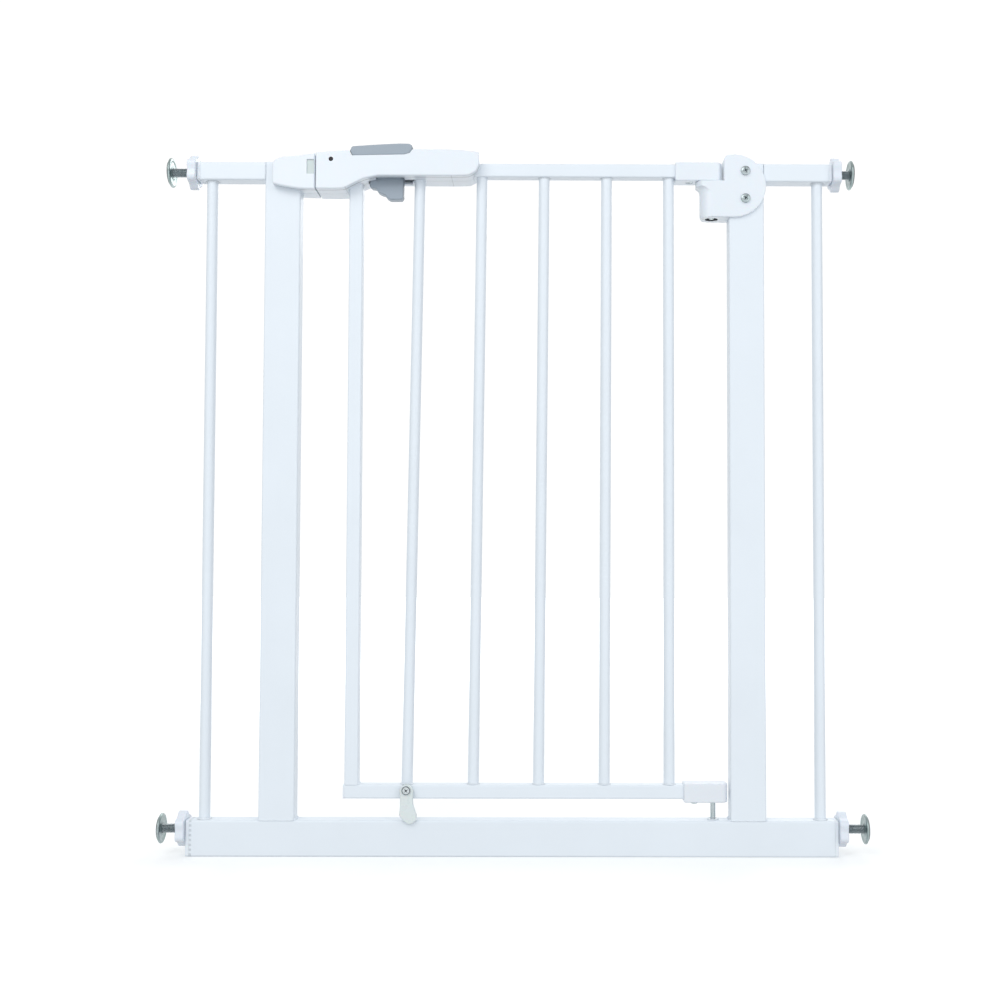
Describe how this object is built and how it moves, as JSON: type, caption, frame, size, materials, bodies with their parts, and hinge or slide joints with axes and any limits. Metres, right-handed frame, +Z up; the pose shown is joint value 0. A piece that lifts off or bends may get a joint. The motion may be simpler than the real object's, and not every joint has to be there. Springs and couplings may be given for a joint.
{
  "type": "safety baby gate",
  "caption": "Pressure-mounted stair and doorway safety gate: tubular steel frame jammed by threaded wall pads, with a hinged barred door, latch handle, finger trigger and thumb button.",
  "frame": {"origin": "middle of the bottom rail's underside, on the floor", "axes": "+X along the rail to the hinge side, +Y away from the side the door opens to, +Z up"},
  "size_m": [0.772, 0.044, 0.7785],
  "materials": {
    "frame_paint": "white powder coat, fine orange peel",
    "white_plastic": "white moulded plastic, semi-gloss",
    "wheel_plastic": "white moulded plastic",
    "pad_rubber": "soft grey rubber",
    "button_grey": "light blue-grey moulded plastic",
    "trigger_grey": "blue-grey moulded plastic",
    "zinc_steel": "bright zinc plate",
    "spring_steel": "drawn spring wire",
    "bush_nylon": "natural nylon",
    "indicator_red": "dark red moulded plastic"
  },
  "bodies": {
    "frame": {"bottom_rail": "frame_paint", "left_post": "frame_paint", "right_post": "frame_paint", "left_outer_bar": "frame_paint", "right_outer_bar": "frame_paint", "top_rail_left": "frame_paint", "top_rail_right": "frame_paint", "rail_end_cap_left": "white_plastic", "rail_end_cap_right": "white_plastic", "stub_end_plug_left": "white_plastic", "stub_end_plug_right": "white_plastic", "keeper_front": "white_plastic", "keeper_rear": "white_plastic", "keeper_screws": "zinc_steel", "hinge_housing_front": "white_plastic", "hinge_housing_rear": "white_plastic", "hinge_housing_screws": "zinc_steel", "hinge_spring": "spring_steel", "lower_hinge_bush": "bush_nylon"},
    "door": {"door_top_rail": "frame_paint", "door_bottom_rail": "frame_paint", "door_stile": "frame_paint", "door_bar_1": "frame_paint", "door_bar_2": "frame_paint", "door_bar_3": "frame_paint", "door_bar_4": "frame_paint", "door_bar_5": "frame_paint", "door_rail_end_cap": "white_plastic", "bottom_hinge_cap": "white_plastic", "bottom_hinge_pin": "zinc_steel", "top_hinge_sleeve": "white_plastic", "top_hinge_pin": "zinc_steel", "hinge_cap_screws": "zinc_steel", "handle_front_shell": "white_plastic", "handle_rear_shell": "white_plastic", "handle_screws": "zinc_steel", "lock_indicator": "indicator_red", "latch_spring": "spring_steel", "button_spring": "spring_steel", "stopper_screw": "zinc_steel"},
    "latch": {"trigger": "trigger_grey", "latch_bolt": "trigger_grey"},
    "button": {"thumb_button": "button_grey"},
    "stopper": {"stopper": "white_plastic"},
    "wheel_top_left": {"hand_wheel_top_left": "wheel_plastic"},
    "spindle_top_left": {"spindle_top_left": "zinc_steel", "wall_disc_top_left": "zinc_steel", "wall_pad_top_left": "pad_rubber"},
    "wheel_top_right": {"hand_wheel_top_right": "wheel_plastic"},
    "spindle_top_right": {"spindle_top_right": "zinc_steel", "wall_disc_top_right": "zinc_steel", "wall_pad_top_right": "pad_rubber"},
    "wheel_bottom_left": {"hand_wheel_bottom_left": "wheel_plastic"},
    "spindle_bottom_left": {"spindle_bottom_left": "zinc_steel", "wall_disc_bottom_left": "zinc_steel", "wall_pad_bottom_left": "pad_rubber"},
    "wheel_bottom_right": {"hand_wheel_bottom_right": "wheel_plastic"},
    "spindle_bottom_right": {"spindle_bottom_right": "zinc_steel", "wall_disc_bottom_right": "zinc_steel", "wall_pad_bottom_right": "pad_rubber"}
  },
  "joints": [
    {"name": "door_swing", "type": "hinge", "parent": "frame", "child": "door", "pos_m": [0.2185, 0, 0.4], "axis": [0, 0, 1], "range_deg": [0, 90], "stiffness_Nm_per_rad": 0.4, "springref_deg": -17.19},
    {"name": "trigger_pull", "type": "slide", "parent": "door", "child": "latch", "axis": [1, 0, 0], "range_m": [0, 0.0095], "stiffness_N_per_m": 500, "springref_m": -0.008, "deforming": ["latch_spring"]},
    {"name": "button_press", "type": "slide", "parent": "door", "child": "button", "axis": [0, 0, -1], "range_m": [0, 0.0035], "stiffness_N_per_m": 700, "springref_m": -0.005, "deforming": ["button_spring"]},
    {"name": "stopper_turn", "type": "hinge", "parent": "door", "child": "stopper", "pos_m": [-0.115, -0.0126, 0.0722], "axis": [0, 1, 0], "range_deg": [-180, 180]},
    {"name": "spindle_slide_top_left", "type": "slide", "parent": "frame", "child": "spindle_top_left", "axis": [-1, 0, 0], "range_m": [-0.018, 0.024]},
    {"name": "wheel_turn_top_left", "type": "hinge", "parent": "frame", "child": "wheel_top_left", "pos_m": [-0.36, 0, 0.75], "axis": [1, 0, 0], "range_deg": [-4380, 5820]},
    {"name": "spindle_slide_top_right", "type": "slide", "parent": "frame", "child": "spindle_top_right", "axis": [1, 0, 0], "range_m": [-0.0105, 0.024]},
    {"name": "wheel_turn_top_right", "type": "hinge", "parent": "frame", "child": "wheel_top_right", "pos_m": [0.36, 0, 0.75], "axis": [-1, 0, 0], "range_deg": [-2580, 5820]},
    {"name": "spindle_slide_bottom_left", "type": "slide", "parent": "frame", "child": "spindle_bottom_left", "axis": [-1, 0, 0], "range_m": [-0.0165, 0.024]},
    {"name": "wheel_turn_bottom_left", "type": "hinge", "parent": "frame", "child": "wheel_bottom_left", "pos_m": [-0.36, 0, 0.0285], "axis": [1, 0, 0], "range_deg": [-4020, 5820]},
    {"name": "spindle_slide_bottom_right", "type": "slide", "parent": "frame", "child": "spindle_bottom_right", "axis": [1, 0, 0], "range_m": [-0.018, 0.024]},
    {"name": "wheel_turn_bottom_right", "type": "hinge", "parent": "frame", "child": "wheel_bottom_right", "pos_m": [0.36, 0, 0.0285], "axis": [-1, 0, 0], "range_deg": [-4380, 5820]}
  ],
  "couplings": [
    {"joint": "wheel_turn_top_left", "follows": "spindle_slide_top_left", "rad_per_m": 4188.8},
    {"joint": "wheel_turn_top_right", "follows": "spindle_slide_top_right", "rad_per_m": 4188.8},
    {"joint": "wheel_turn_bottom_left", "follows": "spindle_slide_bottom_left", "rad_per_m": 4188.8},
    {"joint": "wheel_turn_bottom_right", "follows": "spindle_slide_bottom_right", "rad_per_m": 4188.8}
  ]
}
